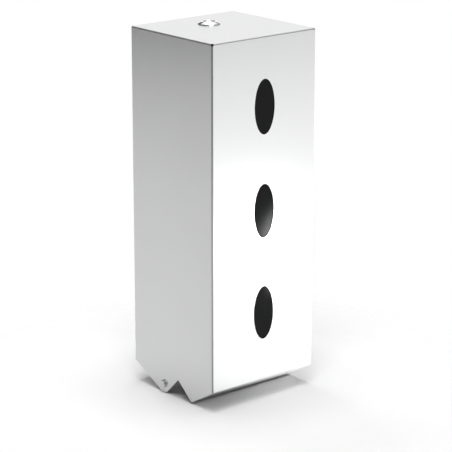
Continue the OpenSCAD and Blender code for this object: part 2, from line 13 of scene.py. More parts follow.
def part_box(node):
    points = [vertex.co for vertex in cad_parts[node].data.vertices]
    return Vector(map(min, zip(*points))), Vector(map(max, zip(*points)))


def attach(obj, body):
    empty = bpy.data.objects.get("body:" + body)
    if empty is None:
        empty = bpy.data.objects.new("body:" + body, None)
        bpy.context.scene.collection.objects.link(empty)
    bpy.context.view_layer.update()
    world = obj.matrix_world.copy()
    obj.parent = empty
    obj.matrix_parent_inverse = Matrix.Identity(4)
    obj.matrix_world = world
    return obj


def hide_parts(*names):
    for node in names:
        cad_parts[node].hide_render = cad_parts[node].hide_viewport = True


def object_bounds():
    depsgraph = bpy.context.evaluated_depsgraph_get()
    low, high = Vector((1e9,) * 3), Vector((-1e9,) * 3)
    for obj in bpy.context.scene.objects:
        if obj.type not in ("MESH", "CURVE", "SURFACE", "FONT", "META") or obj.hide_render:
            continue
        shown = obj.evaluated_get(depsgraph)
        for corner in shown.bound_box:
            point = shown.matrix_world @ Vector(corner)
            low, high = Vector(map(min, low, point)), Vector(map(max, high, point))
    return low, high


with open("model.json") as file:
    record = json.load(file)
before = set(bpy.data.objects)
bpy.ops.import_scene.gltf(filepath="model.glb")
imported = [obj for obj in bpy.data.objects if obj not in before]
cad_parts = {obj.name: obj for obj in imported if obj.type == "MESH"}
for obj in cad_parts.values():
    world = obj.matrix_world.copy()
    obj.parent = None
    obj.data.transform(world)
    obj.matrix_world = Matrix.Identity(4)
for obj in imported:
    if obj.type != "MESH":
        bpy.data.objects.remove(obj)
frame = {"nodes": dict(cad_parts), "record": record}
cad_low, cad_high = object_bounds()
NODES = frame["nodes"]
MM = 0.001

# Where the lock stands
LOCK_Y = -46.5 * MM

# The corners of a square, one unit from its middle
CORNERS = ((-1, -1), (1, -1), (1, 1), (-1, 1))


# Shader building

class Signal:
    """A number or vector that varies over a surface. Arithmetic on it adds Math nodes."""

    def __init__(self, shading, socket):
        self.shading = shading
        self.socket = socket

    def maths(self, operation, *values):
        return self.shading.node("ShaderNodeMath", {"operation": operation}, dict(enumerate(values)))["Value"]

    def __add__(self, other):
        return self.maths("ADD", self, other)

    def __sub__(self, other):
        return self.maths("SUBTRACT", self, other)

    def __rsub__(self, other):
        return self.maths("SUBTRACT", other, self)

    def __mul__(self, other):
        return self.maths("MULTIPLY", self, other)

    def __truediv__(self, other):
        return self.maths("DIVIDE", self, other)

    __radd__ = __add__
    __rmul__ = __mul__

    def size(self):
        return self.maths("ABSOLUTE", self)

    def above(self, edge):
        return self.maths("GREATER_THAN", self, edge)

    def at_most(self, other):
        return self.maths("MINIMUM", self, other)

    def at_least(self, other):
        return self.maths("MAXIMUM", self, other)


class Shading:
    """A node tree under construction."""

    def __init__(self, tree):
        self.tree = tree
        self.tree.nodes.clear()

    def node(self, kind, settings=None, values=None):
        """Adds a node, its settings first and then its sockets. Returns its outputs by name and number."""
        made = self.tree.nodes.new(kind)
        for key, value in (settings or {}).items():
            if key == "stops":
                self.set_stops(made.color_ramp, value)
            else:
                setattr(made, key, value)
        self.feed(made, values or {})
        outputs = {output.name: Signal(self, output) for output in made.outputs}
        outputs.update({i: Signal(self, output) for i, output in enumerate(made.outputs)})
        return outputs

    def feed(self, made, values):
        for key, value in values.items():
            socket = made.inputs[key]
            if isinstance(value, Signal):
                self.tree.links.new(value.socket, socket)
            else:
                socket.default_value = value

    def set_stops(self, ramp, stops):
        """Gives a ramp its stops, each a position and a grey."""
        while len(ramp.elements) < len(stops):
            ramp.elements.new(0.5)
        for element, (position, grey) in zip(ramp.elements, stops):
            element.position = position
            element.color = (grey, grey, grey, 1)

    def shade(self, where, low, high):
        """A colour between two, by a number from 0 to 1."""
        low, high = (end if isinstance(end, Signal) else (*end, 1) for end in (low, high))
        # A Mix node has sockets for each kind of value. Its colours are 6 and 7, and come out at 2.
        return self.node("ShaderNodeMix", {"data_type": "RGBA"}, {"Factor": where, 6: low, 7: high})[2]

    def axes(self, vector):
        """The X, Y and Z of a vector."""
        return self.node("ShaderNodeSeparateXYZ", {}, {"Vector": vector})

    def vectors(self, operation, *values):
        """The outputs of a Vector Math node."""
        return self.node("ShaderNodeVectorMath", {"operation": operation}, dict(enumerate(values)))

    def joined(self, *parts):
        """One geometry of several."""
        join = self.tree.nodes.new("GeometryNodeJoinGeometry")
        for part in parts:
            self.tree.links.new(part.socket, join.inputs[0])
        return Signal(self, join.outputs[0])


class Finish(Shading):
    """A material with one Principled shader."""

    def __init__(self, name, **constants):
        self.material = bpy.data.materials.new(name)
        self.material.use_nodes = True
        super().__init__(self.material.node_tree)
        self.shader = self.tree.nodes.new("ShaderNodeBsdfPrincipled")
        output = self.tree.nodes.new("ShaderNodeOutputMaterial")
        self.tree.links.new(self.shader.outputs["BSDF"], output.inputs["Surface"])
        self.set(**constants)
        spot = self.node("ShaderNodeTexCoord")
        self.place = spot["Object"]
        self.facing = spot["Normal"]

    def set(self, **values):
        """Sets sockets of the shader. Underscores in the names stand for spaces."""
        self.feed(self.shader, {key.replace("_", " "): value for key, value in values.items()})

    def noise(self, scale, detail=2.0, roughness=0.5):
        """Noise between 0 and 1. The scale is in cells per metre, along each axis if there are three."""
        if isinstance(scale, tuple):
            where = self.node("ShaderNodeMapping", {}, {"Vector": self.place, "Scale": scale})["Vector"]
            scale = 1.0
        else:
            where = self.place
        return self.node("ShaderNodeTexNoise", {}, {
            "Vector": where, "Scale": scale, "Detail": detail, "Roughness": roughness,
        })["Fac"]

    def bump(self, height, distance, strength):
        made = self.node("ShaderNodeBump", {}, {
            "Height": height, "Distance": distance, "Strength": strength,
        })
        self.set(Normal=made["Normal"])


# Painted shade in hollows: a dark colour painted on the walls of the relief holes that a laser cut in the
# cover, and in the slot for the key
PAINTED_SHADE = (0.03, 0.028, 0.026)
RELIEF_R = 1.4 * MM
RELIEF_INSET = 1.2 * MM
RELIEF_DEPTH = 2.2 * MM
KEY_SLOT_HALF_W = 0.8 * MM
KEY_SLOT_HALF_L = 4 * MM


def in_relief_holes(steel):
    """1 on the walls of the two relief holes at the top front corners of the cover, elsewhere 0."""
    low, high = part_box("cover_shell")
    axes = steel.axes(steel.place)
    across = axes["X"].size() - (high[0] - RELIEF_INSET)
    along = axes["Y"] - (low[1] + RELIEF_INSET)
    edge = 0.12 * MM
    outside = (across * across + along * along).above((RELIEF_R + edge) ** 2)
    return (1 - outside) * axes["Z"].above(high[2] - RELIEF_DEPTH - edge)


def in_key_slot(metal):
    """1 on the walls of the key slot and on its shutter, where shade is painted, elsewhere 0."""
    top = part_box("lock_plug")[1][2]
    edge = 0.05 * MM
    unshaded_depth = 0.25 * MM
    shaded_depth = 2 * MM
    axes = metal.axes(metal.place)
    across = axes["X"].size().above(KEY_SLOT_HALF_W + edge)
    along = (axes["Y"] - LOCK_Y).size().above(KEY_SLOT_HALF_L + edge)
    sunk = axes["Z"].above(top - shaded_depth) - axes["Z"].above(top - unshaded_depth)
    return (1 - across.at_least(along)) * sunk


def brushed(name, low, high, roughness, grain_depth):
    """Rolled and brushed steel sheet: fine lines along each face, and faint clouds from handling."""
    fine = 3400
    drawn_out = 14
    side_facing = 0.7
    steel = Finish(name, Metallic=1.0)
    on_side = steel.axes(steel.facing)["X"].size().above(side_facing)
    across_x = steel.noise((fine, drawn_out, drawn_out), detail=3, roughness=0.6)
    across_y = steel.noise((drawn_out, fine, drawn_out), detail=3, roughness=0.6)
    grain = across_x + (across_y - across_x) * on_side
    cloud = steel.noise(9, detail=4)
    sheet = steel.shade(grain * 0.7 + cloud * 0.3, low, high)
    steel.set(
        # The walls of the relief holes get painted shade, a dark colour in place of the shade inside them.
        Base_Color=steel.shade(in_relief_holes(steel), sheet, PAINTED_SHADE),
        Roughness=roughness + (grain - 0.5) * 0.05 + (cloud - 0.5) * 0.04,
    )
    steel.bump(grain, grain_depth, 0.05)
    return steel.material


def plated(name, low, high, roughness, mottle, in_painted_shade=None):
    """Plated steel: smooth, with faint mottling in its colour and gloss, and perhaps a place with painted
    shade.
    """
    metal = Finish(name, Metallic=1.0)
    spots = metal.noise(mottle, detail=5, roughness=0.65)
    fine = metal.noise(2600, detail=2)
    colour = metal.shade(spots, low, high)
    metal.set(
        # A masked place gets painted shade: a dark colour in place of the shade in a recess.
        Base_Color=metal.shade(in_painted_shade(metal), colour, PAINTED_SHADE) if in_painted_shade else colour,
        Roughness=roughness + (spots - 0.5) * 0.12 + (fine - 0.5) * 0.04,
    )
    metal.bump(fine, 0.01 * MM, 0.3)
    return metal.material


def moulded(name, low, high, roughness, grain_scale, grain_depth, gloss=0.5):
    """Moulded plastic or rubber with a fine eroded grain."""
    plastic = Finish(name, Specular_IOR_Level=gloss)
    pits = plastic.noise(grain_scale, detail=3, roughness=0.6)
    flow = plastic.noise((35, 35, 90), detail=3)
    plastic.set(
        Base_Color=plastic.shade(pits * 0.4 + flow * 0.6, low, high),
        Roughness=roughness + (pits - 0.5) * 0.15 + (flow - 0.5) * 0.08,
    )
    plastic.bump(pits, grain_depth, 0.6)
    return plastic.material


def smoked(name):
    """Dark acrylic sheet with a satin face and faint wipe marks."""
    pane = Finish(name, IOR=1.49, Specular_IOR_Level=0.08)
    wipes = pane.noise((90, 90, 26), detail=4, roughness=0.6)
    dust = pane.noise(1500, detail=2)
    pane.set(
        Base_Color=pane.shade(wipes * 0.7 + dust * 0.3, (0.007, 0.0072, 0.008), (0.013, 0.0134, 0.0145)),
        Roughness=0.09 + (wipes - 0.5) * 0.05 + (dust - 0.5) * 0.02,
    )
    pane.bump(dust, 0.004 * MM, 0.4)
    return pane.material


FINISHES = {
    "brushed_steel": brushed("brushed_steel", (0.757, 0.760, 0.764), (0.788, 0.790, 0.793), 0.25, 0.006 * MM),
    "plated_steel": plated("plated_steel", (0.70, 0.70, 0.70), (0.80, 0.80, 0.80), 0.2, 420),
    # The lock's key slot gets painted shade in its colour.
    "lock_chrome": plated("lock_chrome", (0.90, 0.902, 0.905), (0.94, 0.942, 0.945), 0.1, 300, in_key_slot),
    "zinc_steel": plated("zinc_steel", (0.48, 0.50, 0.53), (0.66, 0.68, 0.70), 0.36, 240),
    "smoked_pane": smoked("smoked_pane"),
    "black_plastic": moulded(
        "black_plastic", (0.018, 0.019, 0.02), (0.032, 0.033, 0.035), 0.46, 2400, 0.03 * MM,
    ),
    "nylon": moulded("nylon", (0.76, 0.75, 0.70), (0.86, 0.85, 0.81), 0.42, 1800, 0.015 * MM),
    "rubber": moulded("rubber", (0.014, 0.014, 0.015), (0.028, 0.028, 0.029), 0.75, 2000, 0.04 * MM, 0.3),
}


# Mesh building. Shapes are worked out in millimetres and made metres at the end.

ROUND_STEPS = 72
FINE_STEPS = 96
OVERRUN = 1


def rounded(corners, steps=5):
    """The points of an outline from its corners, each (a, b) or (a, b, radius)."""
    points = []
    for before, at, after in zip(corners[-1:] + corners[:-1], corners, corners[1:] + corners[:1]):
        spot = Vector(at[:2])
        if len(at) == 2:
            points.append(spot)
            continue
        towards_before = (Vector(before[:2]) - spot).normalized()
        towards_after = (Vector(after[:2]) - spot).normalized()
        half = towards_before.angle(towards_after) / 2
        middle = spot + (towards_before + towards_after).normalized() * (at[2] / math.sin(half))
        start = spot + towards_before * (at[2] / math.tan(half)) - middle
        end = spot + towards_after * (at[2] / math.tan(half)) - middle
        sweep = math.pi - 2 * half
        for i in range(steps + 1):
            turn = sweep * i / steps
            mixed = start * math.sin(sweep - turn) + end * math.sin(turn)
            points.append(middle + mixed / math.sin(sweep))
    return points


def flipped(outline, turn):
    """An outline as it is for a turn of 1, and upside down for a turn of -1."""
    return [(radius, height * turn) for radius, height in outline]


def mirror_of(half):
    """The mirror image of half an outline, in the order that closes the whole."""
    return [(corner[0], -corner[1], *corner[2:]) for corner in reversed(half)]


def rectangle(x, y, half_w, half_l, rounding):
    """The corners of a rectangle about a place, for rounded()."""
    return [(x + i * half_w, y + j * half_l, rounding) for i, j in CORNERS]


def on_axis(axis, centre, radius, angle, height):
    """A point at a radius, an angle and a height about an axis through a centre."""
    across = radius * math.cos(angle)
    up = radius * math.sin(angle)
    offset = {"x": (height, across, up), "y": (across, height, up), "z": (across, up, height)}[axis]
    return Vector(centre) + Vector(offset)


def lathe(bm, outline, axis, centre, steps=ROUND_STEPS):
    """Turns a closed outline of (radius, height) points about an axis. Points on the axis become poles."""
    rings = []
    for radius, height in outline:
        count = 1 if radius < 1e-6 else steps
        rings.append([
            bm.verts.new(on_axis(axis, centre, radius, 2 * math.pi * i / steps, height)) for i in range(count)
        ])
    faces = []
    for low, high in zip(rings, rings[1:] + rings[:1]):
        if len(low) == len(high) == 1:
            continue
        for i in range(steps):
            j = i + 1
            around = [low[i % len(low)], low[j % len(low)], high[j % len(high)], high[i % len(high)]]
            faces.append(bm.faces.new(list(dict.fromkeys(around))))
    bmesh.ops.recalc_face_normals(bm, faces=faces)


def smooth_by_angle(mesh, degrees=32):
    mesh.shade_smooth()
    mesh.set_sharp_from_angle(angle=math.radians(degrees))


def to_mesh(name, bm):
    """A mesh in metres from a bmesh in millimetres."""
    bmesh.ops.scale(bm, vec=(MM, MM, MM), verts=bm.verts)
    mesh = bpy.data.meshes.new(name)
    bm.to_mesh(mesh)
    bm.free()
    smooth_by_angle(mesh)
    return mesh


def new_object(name, mesh):
    made = bpy.data.objects.new(name, mesh)
    bpy.context.scene.collection.objects.link(made)
    return made


def finish_piece(piece, slot, body, node):
    """Gives a piece its material and its body. It stands for a node of the CAD."""
    piece.data.materials.clear()
    piece.data.materials.append(FINISHES[slot])
    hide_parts(node)
    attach(piece, body)


def piece_from(bm, name, slot, body, node):
    """Makes a finished piece of a shape in millimetres."""
    finish_piece(new_object(name, to_mesh(name, bm)), slot, body, node)


def turned(name, outline, axis, centre, slot, body, node):
    """A piece that is one turned body."""
    bm = bmesh.new()
    lathe(bm, outline, axis, centre)
    piece_from(bm, name, slot, body, node)


class Box:
    """The box of a CAD node at rest, in millimetres."""

    def __init__(self, node):
        low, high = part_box(node)
        self.low = Vector(low) / MM
        self.high = Vector(high) / MM
        self.middle = (self.low + self.high) / 2
        self.size = self.high - self.low


def slab(bm, corners, low, high):
    """An upright block over an outline of (x, y) corners."""
    bottom = [bm.verts.new((x, y, low)) for x, y in corners]
    top = [bm.verts.new((x, y, high)) for x, y in corners]
    faces = [bm.faces.new(bottom), bm.faces.new(top)]
    for i in range(len(corners)):
        j = (i + 1) % len(corners)
        faces.append(bm.faces.new((bottom[i], bottom[j], top[j], top[i])))
    bmesh.ops.recalc_face_normals(bm, faces=faces)


def plain_mesh(piece, name):
    """The mesh of an object with its modifiers applied."""
    graph = bpy.context.evaluated_depsgraph_get()
    graph.update()
    mesh = bpy.data.meshes.new_from_object(piece.evaluated_get(graph))
    mesh.name = name
    return mesh


def cut(name, solid, cutter):
    """The mesh of one solid less another, both in metres."""
    body = new_object(name, solid)
    tool = new_object(name + "_cutter", cutter)
    modifier = body.modifiers.new("cut", "BOOLEAN")
    modifier.operation = "DIFFERENCE"
    modifier.solver = "EXACT"
    modifier.object = tool
    mesh = plain_mesh(body, name)
    for made in (body, tool):
        bpy.data.objects.remove(made)
    smooth_by_angle(mesh)
    return mesh


# Rows of equal pieces, made by Geometry Nodes

def evaluated(name, base, tree, inputs):
    """The plain mesh that a node tree makes from a base mesh, its inputs given by name."""
    maker = new_object(name, base)
    modifier = maker.modifiers.new("maker", "NODES")
    modifier.node_group = tree
    for item in tree.interface.items_tree:
        if item.item_type == "SOCKET" and item.in_out == "INPUT" and item.name in inputs:
            modifier[item.identifier] = inputs[item.name]
    mesh = plain_mesh(maker, name)
    maker.modifiers.remove(modifier)
    bpy.data.objects.remove(maker)
    return mesh


def new_tree(name, sockets):
    """A geometry node tree with inputs, each a name and a kind."""
    tree = bpy.data.node_groups.new(name, "GeometryNodeTree")
    tree.interface.new_socket("Geometry", in_out="INPUT", socket_type="NodeSocketGeometry")
    for label, kind in sockets.items():
        tree.interface.new_socket(label, in_out="INPUT", socket_type=kind)
    tree.interface.new_socket("Geometry", in_out="OUTPUT", socket_type="NodeSocketGeometry")
    return tree, Shading(tree)


def row_tree():
    """Copies of a piece in a row, and in a second row mirrored to the other side."""
    tree, build = new_tree("row_of_pieces", {
        "Count": "NodeSocketInt", "First": "NodeSocketVector", "Step": "NodeSocketVector",
        "Both Sides": "NodeSocketBool", "Finish": "NodeSocketMaterial",
    })
    given = build.node("NodeGroupInput")
    row = build.node("GeometryNodeMeshLine", {"mode": "OFFSET"}, {
        "Count": given["Count"], "Start Location": given["First"], "Offset": given["Step"],
    })["Mesh"]
    other = build.node("GeometryNodeTransform", {}, {"Geometry": row, "Scale": (-1, 1, 1)})["Geometry"]
    second = build.node("GeometryNodeSwitch", {"input_type": "GEOMETRY"}, {
        "Switch": given["Both Sides"], "True": other,
    })["Output"]
    copies = build.node("GeometryNodeInstanceOnPoints", {}, {
        "Points": build.joined(row, second), "Instance": given["Geometry"],
    })["Instances"]
    solid = build.node("GeometryNodeRealizeInstances", {}, {"Geometry": copies})["Geometry"]
    dressed = build.node("GeometryNodeSetMaterial", {}, {
        "Geometry": solid, "Material": given["Finish"],
    })["Geometry"]
    build.node("NodeGroupOutput", {}, {"Geometry": dressed})
    return tree


def ring_tree():
    """Ribs in a ring about the X axis through a centre, added to the tube that they stand on."""
    tree, build = new_tree("ring_of_ribs", {
        "Count": "NodeSocketInt", "Length": "NodeSocketFloat", "Radius": "NodeSocketFloat",
        "Rib Radius": "NodeSocketFloat", "Centre": "NodeSocketVector", "Finish": "NodeSocketMaterial",
    })
    given = build.node("NodeGroupInput")
    half = given["Length"] * 0.5
    start = build.node("ShaderNodeCombineXYZ", {}, {"X": half * -1, "Z": given["Radius"]})["Vector"]
    end = build.node("ShaderNodeCombineXYZ", {}, {"X": half, "Z": given["Radius"]})["Vector"]
    line = build.node("GeometryNodeCurvePrimitiveLine", {}, {"Start": start, "End": end})["Curve"]
    round_bar = build.node("GeometryNodeCurvePrimitiveCircle", {}, {
        "Resolution": 16, "Radius": given["Rib Radius"],
    })["Curve"]
    rib = build.node("GeometryNodeCurveToMesh", {}, {
        "Curve": line, "Profile Curve": round_bar, "Fill Caps": True,
    })["Mesh"]
    points = build.node("GeometryNodePoints", {}, {"Count": given["Count"]})["Points"]
    number = build.node("GeometryNodeInputIndex")["Index"]
    angle = number / given["Count"] * (2 * math.pi)
    turn = build.node("ShaderNodeCombineXYZ", {}, {"X": angle})["Vector"]
    ribs = build.node("GeometryNodeInstanceOnPoints", {}, {
        "Points": points, "Instance": rib, "Rotation": turn,
    })["Instances"]
    placed = build.node("GeometryNodeTransform", {}, {
        "Geometry": ribs, "Translation": given["Centre"],
    })["Geometry"]
    solid = build.node("GeometryNodeRealizeInstances", {}, {"Geometry": placed})["Geometry"]
    dressed = build.node("GeometryNodeSetMaterial", {}, {
        "Geometry": build.joined(solid, given["Geometry"]), "Material": given["Finish"],
    })["Geometry"]
    build.node("NodeGroupOutput", {}, {"Geometry": dressed})
    return tree


def in_rows(name, bm, slot, body, node, first, step=(0, 0, 0), count=1, both_sides=False):
    """Copies of a small piece, made at the origin, in rows at places in millimetres."""
    mesh = evaluated(name, to_mesh(name + "_one", bm), ROWS, {
        "Count": count, "First": Vector(first) * MM, "Step": Vector(step) * MM,
        "Both Sides": both_sides, "Finish": FINISHES[slot],
    })
    smooth_by_angle(mesh)
    finish_piece(new_object(name, mesh), slot, body, node)


# Fasteners

def dome(radius, rise, steps=9):
    """The outline of a low dome from its rim towards its top, which lies on the axis."""
    return [
        (radius * math.cos(math.pi / 2 * i / steps), rise * math.sin(math.pi / 2 * i / steps))
        for i in range(steps)
    ] + [(0, rise)]


def rivet(bm, shank_r, shank_l, head_r, head_h, axis, centre, turn=1):
    """A rivet: a domed head on one side of the joint's face, and a shank on the other."""
    rim = head_h * 0.15
    head_edge = 0.15
    shank_foot = 0.1
    chamfer = 0.2
    head = [(0, 0), (head_r - head_edge, 0), (head_r, -head_edge)]
    head += [(radius, -rim - height) for radius, height in dome(head_r, head_h - rim)]
    shank = [
        (0, shank_foot), (shank_r, shank_foot), (shank_r, shank_l - chamfer),
        (shank_r - chamfer, shank_l), (0, shank_l),
    ]
    for outline in (head, shank):
        lathe(bm, flipped(outline, turn), axis, centre, steps=40)


def star_nut(bm, turn, bore_r, outer_r, height):
    """A pressed star nut: a flat rim, and teeth that rise to the shank that they grip."""
    teeth = 6
    steps = 12
    gap_steps = 2
    sheet = 0.35
    rim_w = 0.3
    bite_gap = 0.1
    rim_bands = 2
    tooth_bands = 3
    root_r = (outer_r + bore_r) / 2
    levels = [(outer_r, 0), (outer_r - rim_w, 0), (root_r, 0), (bore_r + bite_gap, height - sheet)]
    spokes = []
    for i in range(teeth * steps):
        angle = 2 * math.pi * i / (teeth * steps)
        spokes.append([
            [bm.verts.new((r * math.cos(angle), r * math.sin(angle), z + lift)) for r, z in levels]
            for lift in (0, sheet)
        ])
    for i, (low, high) in enumerate(spokes):
        next_low, next_high = spokes[(i + 1) % len(spokes)]
        reach = rim_bands if i % steps < gap_steps else tooth_bands
        for k in range(reach):
            bm.faces.new((high[k], next_high[k], next_high[k + 1], high[k + 1]))
            bm.faces.new((low[k], low[k + 1], next_low[k + 1], next_low[k]))
        bm.faces.new((high[0], low[0], next_low[0], next_high[0]))
        bm.faces.new((high[reach], next_high[reach], next_low[reach], low[reach]))
        if i % steps == gap_steps:
            bm.faces.new((high[rim_bands], high[tooth_bands], low[tooth_bands], low[rim_bands]))
        if i % steps == steps - 1:
            bm.faces.new((
                next_high[rim_bands], next_low[rim_bands], next_low[tooth_bands], next_high[tooth_bands],
            ))
    bmesh.ops.transform(bm, matrix=turn, verts=bm.verts)
    bmesh.ops.recalc_face_normals(bm, faces=bm.faces)


def quarter_turn(axis):
    """A turn by a right angle, backwards about an axis."""
    return Matrix.Rotation(math.radians(-90), 4, axis)


def make_rivets():
    """The rivets of the guides in two rows, and those of the catch, which have a head at both ends."""
    head_r = 3.5
    shank_r = 2
    box = Box("guide_rivets")
    head_h = 1.4
    rows = 4
    bm = bmesh.new()
    rivet(bm, shank_r, box.size.y - head_h, head_r, head_h, "y", (0, 0, 0))
    in_rows(
        "guide_rivets_domed", bm, "plated_steel", "housing", "guide_rivets",
        first=(box.high.x - head_r, box.low.y + head_h, box.low.z + head_r),
        step=(0, 0, (box.size.z - 2 * head_r) / (rows - 1)), count=rows, both_sides=True,
    )
    box = Box("catch_rivets")
    head_h = 1.2
    lap = 0.1
    half = box.size.z / 2 - head_h
    bm = bmesh.new()
    rivet(bm, shank_r, half + lap, head_r, head_h, "z", (0, 0, -half))
    rivet(bm, shank_r, half + 2 * lap, head_r, head_h, "z", (0, 0, half), -1)
    in_rows(
        "catch_rivets_domed", bm, "plated_steel", "housing", "catch_rivets",
        first=(box.middle.x, box.low.y + head_r, box.middle.z),
        step=(0, box.size.y - 2 * head_r, 0), count=2,
    )


def make_star_nuts():
    """The clips on the panes' studs, and the rings on the hinge pins."""
    box = Box("pane_clips")
    clip_r = 4.5
    stud_r = 1.5
    bm = bmesh.new()
    star_nut(bm, quarter_turn("X"), stud_r, clip_r, box.size.y)
    in_rows(
        "pane_star_nuts", bm, "zinc_steel", "cover", "pane_clips",
        first=(box.high.x - clip_r, box.low.y, box.low.z + clip_r),
        step=(0, 0, box.size.z / 2 - clip_r), count=3, both_sides=True,
    )
    box = Box("pin_retainers")
    pin_r = 3
    thickness = 0.9
    bm = bmesh.new()
    star_nut(bm, quarter_turn("Y"), pin_r, box.size.y / 2, thickness)
    bmesh.ops.translate(bm, vec=(box.high.x, box.middle.y, box.middle.z), verts=bm.verts)
    mirrored_copy(bm)
    piece_from(bm, "pin_star_nuts", "zinc_steel", "housing", "pin_retainers")


def mirrored_copy(bm):
    """Adds the same shape on the other side of the middle."""
    copy = bmesh.ops.duplicate(bm, geom=bm.verts[:] + bm.edges[:] + bm.faces[:])["geom"]
    verts = [item for item in copy if isinstance(item, bmesh.types.BMVert)]
    faces = [item for item in copy if isinstance(item, bmesh.types.BMFace)]
    bmesh.ops.scale(bm, vec=(-1, 1, 1), verts=verts)
    bmesh.ops.reverse_faces(bm, faces=faces)


# Hinge

def make_hinge():
    """The two pins with their turned heads, and the nylon washers between the ears and the cover."""
    head_h = 2.8
    shank_r = 3
    for side, turn in (("left", -1), ("right", 1)):
        node = side + "_hinge_pin"
        box = Box(node)
        tail, top = sorted((abs(box.low.x), abs(box.high.x)))
        head_r = box.size.y / 2
        head_foot = top - head_h
        outline = rounded([
            (0, tail), (shank_r, tail, 0.4), (shank_r, head_foot), (head_r, head_foot, 0.2),
            (head_r, top, 0.35), (0, top),
        ])
        turned(
            node + "_turned", flipped(outline, turn), "x",
            (0, box.middle.y, box.middle.z), "plated_steel", "housing", node,
        )
    box = Box("hinge_washers")
    washer_t = 0.6
    washer_r = box.size.y / 2
    inner_x = box.high.x - washer_t
    outline = rounded([
        (shank_r, inner_x, 0.15), (washer_r, inner_x, 0.2), (washer_r, box.high.x, 0.2),
        (shank_r, box.high.x, 0.15),
    ], 3)
    bm = bmesh.new()
    for turn in (-1, 1):
        lathe(bm, flipped(outline, turn), "x", (0, box.middle.y, box.middle.z))
    piece_from(bm, "washers_rounded", "nylon", "housing", "hinge_washers")


# Lock

def make_lock():
    """The bezel with its threaded barrel, and the nut that holds it in the cover."""
    body = Box("lock_body")
    centre = (0, body.middle.y, 0)
    foot = body.low.z
    top = body.high.z
    bezel_r = body.size.x / 2
    bezel_h = 3
    rim_h = 1.1
    slope_l = 3.8
    sheet_top = top - bezel_h
    bore_r = 5.6
    core_r = 8.4
    crest_r = 9
    thread_foot = foot + 0.8
    thread_top = sheet_top - 0.6
    face_r = Box("lock_plug").size.x / 2
    mouth_r = face_r + 0.25
    mouth_h = 0.2
    pocket_r = face_r + 0.08
    pocket_h = 2.8
    bm = bmesh.new()
    lathe(bm, rounded([
        (bore_r, foot, 0.3), (core_r, foot, 0.5), (core_r, sheet_top), (bezel_r, sheet_top, 0.15),
        (bezel_r, sheet_top + rim_h, 0.3), (bezel_r - slope_l, top, 0.6), (mouth_r, top, 0.1),
        (pocket_r, top - mouth_h), (pocket_r, top - pocket_h), (bore_r, top - pocket_h),
    ]), "z", centre, FINE_STEPS)
    thread(bm, centre, core_r, crest_r, thread_foot, thread_top, pitch=1.0)
    piece_from(bm, "lock_bezel", "lock_chrome", "cover", "lock_body")

    nut = Box("lock_nut")
    nut_bore_r = 8.5
    bm = bmesh.new()
    hex_nut(bm, centre, nut.size.y / 2, nut_bore_r, nut.low.z, nut.high.z)
    piece_from(bm, "lock_hex_nut", "zinc_steel", "cover", "lock_nut")


def make_plug():
    """The turning middle of the lock: a face with a key slot and its shutter, and a square tang."""
    box = Box("lock_plug")
    cam = Box("lock_cam")
    x, y = box.middle.x, box.middle.y
    top = box.high.z
    face_r = box.size.x / 2
    face_low = top - 1.7
    plug_r = 5.5
    dish_rim_r = 5.4
    dish_r = 5.2
    dish_z = top - 0.2
    bm = bmesh.new()
    lathe(bm, rounded([
        (0, cam.high.z), (plug_r, cam.high.z, 0.4), (plug_r, face_low), (face_r, face_low, 0.2),
        (face_r, top, 0.45), (dish_rim_r, top, 0.15), (dish_r, dish_z, 0.15), (0, dish_z),
    ]), "z", (x, y, 0), FINE_STEPS)

    slot_depth = 5
    slot = bmesh.new()
    corners = rounded(rectangle(x, y, KEY_SLOT_HALF_W / MM, KEY_SLOT_HALF_L / MM, 0.5), 4)
    slab(slot, corners, top - slot_depth, top + OVERRUN)
    body = cut("plug_body", to_mesh("plug_solid", bm), to_mesh("key_slot", slot))
    bm = bmesh.new()
    bm.from_mesh(body)
    bmesh.ops.scale(bm, vec=(1 / MM, 1 / MM, 1 / MM), verts=bm.verts)

    shutter_top = top - 1.3
    shutter_t = 0.2
    width_share = 0.96
    length_share = 0.99
    shutter = [(x + (a - x) * width_share, y + (b - y) * length_share) for a, b in corners]
    slab(bm, shutter, shutter_top - shutter_t, shutter_top)

    half_tang = 3.5
    tang_lap = 0.5
    tang = rounded(rectangle(x, y, half_tang, half_tang, 0.4), 3)
    slab(bm, tang, box.low.z, cam.high.z + tang_lap)
    piece_from(bm, "lock_plug_face", "lock_chrome", "lock", "lock_plug")


def make_cam_screw():
    """A pan head screw with a cross recess, driven up into the plug."""
    box = Box("cam_screw")
    x, y = box.middle.x, box.middle.y
    foot = box.low.z
    tip = box.high.z
    head_r = box.size.x / 2
    head_top = foot + 2.3
    pan_share = 0.62
    pan_h = 1.1
    shank_r = 2
    chamfer = 0.5
    bm = bmesh.new()
    lathe(bm, rounded([
        (0, foot), (head_r * pan_share, foot, 1.2), (head_r, foot + pan_h, 0.5), (head_r, head_top, 0.2),
        (shank_r, head_top), (shank_r, tip - chamfer), (shank_r - chamfer, tip), (0, tip),
    ]), "z", (x, y, 0), steps=64)

    wide = 2.3
    narrow = 0.5
    recess_depth = 1.4
    taper_share = 0.55
    quarter = [(wide, narrow), (narrow, narrow), (narrow, wide)]
    corners = []
    for _ in range(4):
        corners += quarter
        quarter = [(-b, a) for a, b in quarter]
    cross = bmesh.new()
    slab(cross, [(x + a, y + b) for a, b in corners], foot - OVERRUN, foot + recess_depth)
    for vert in cross.verts:
        if vert.co.z > foot:
            vert.co.x = x + (vert.co.x - x) * taper_share
            vert.co.y = y + (vert.co.y - y) * taper_share
    mesh = cut("cam_screw_pan", to_mesh("screw_solid", bm), to_mesh("cross_recess", cross))
    finish_piece(new_object("cam_screw_pan", mesh), "plated_steel", "lock", "cam_screw")


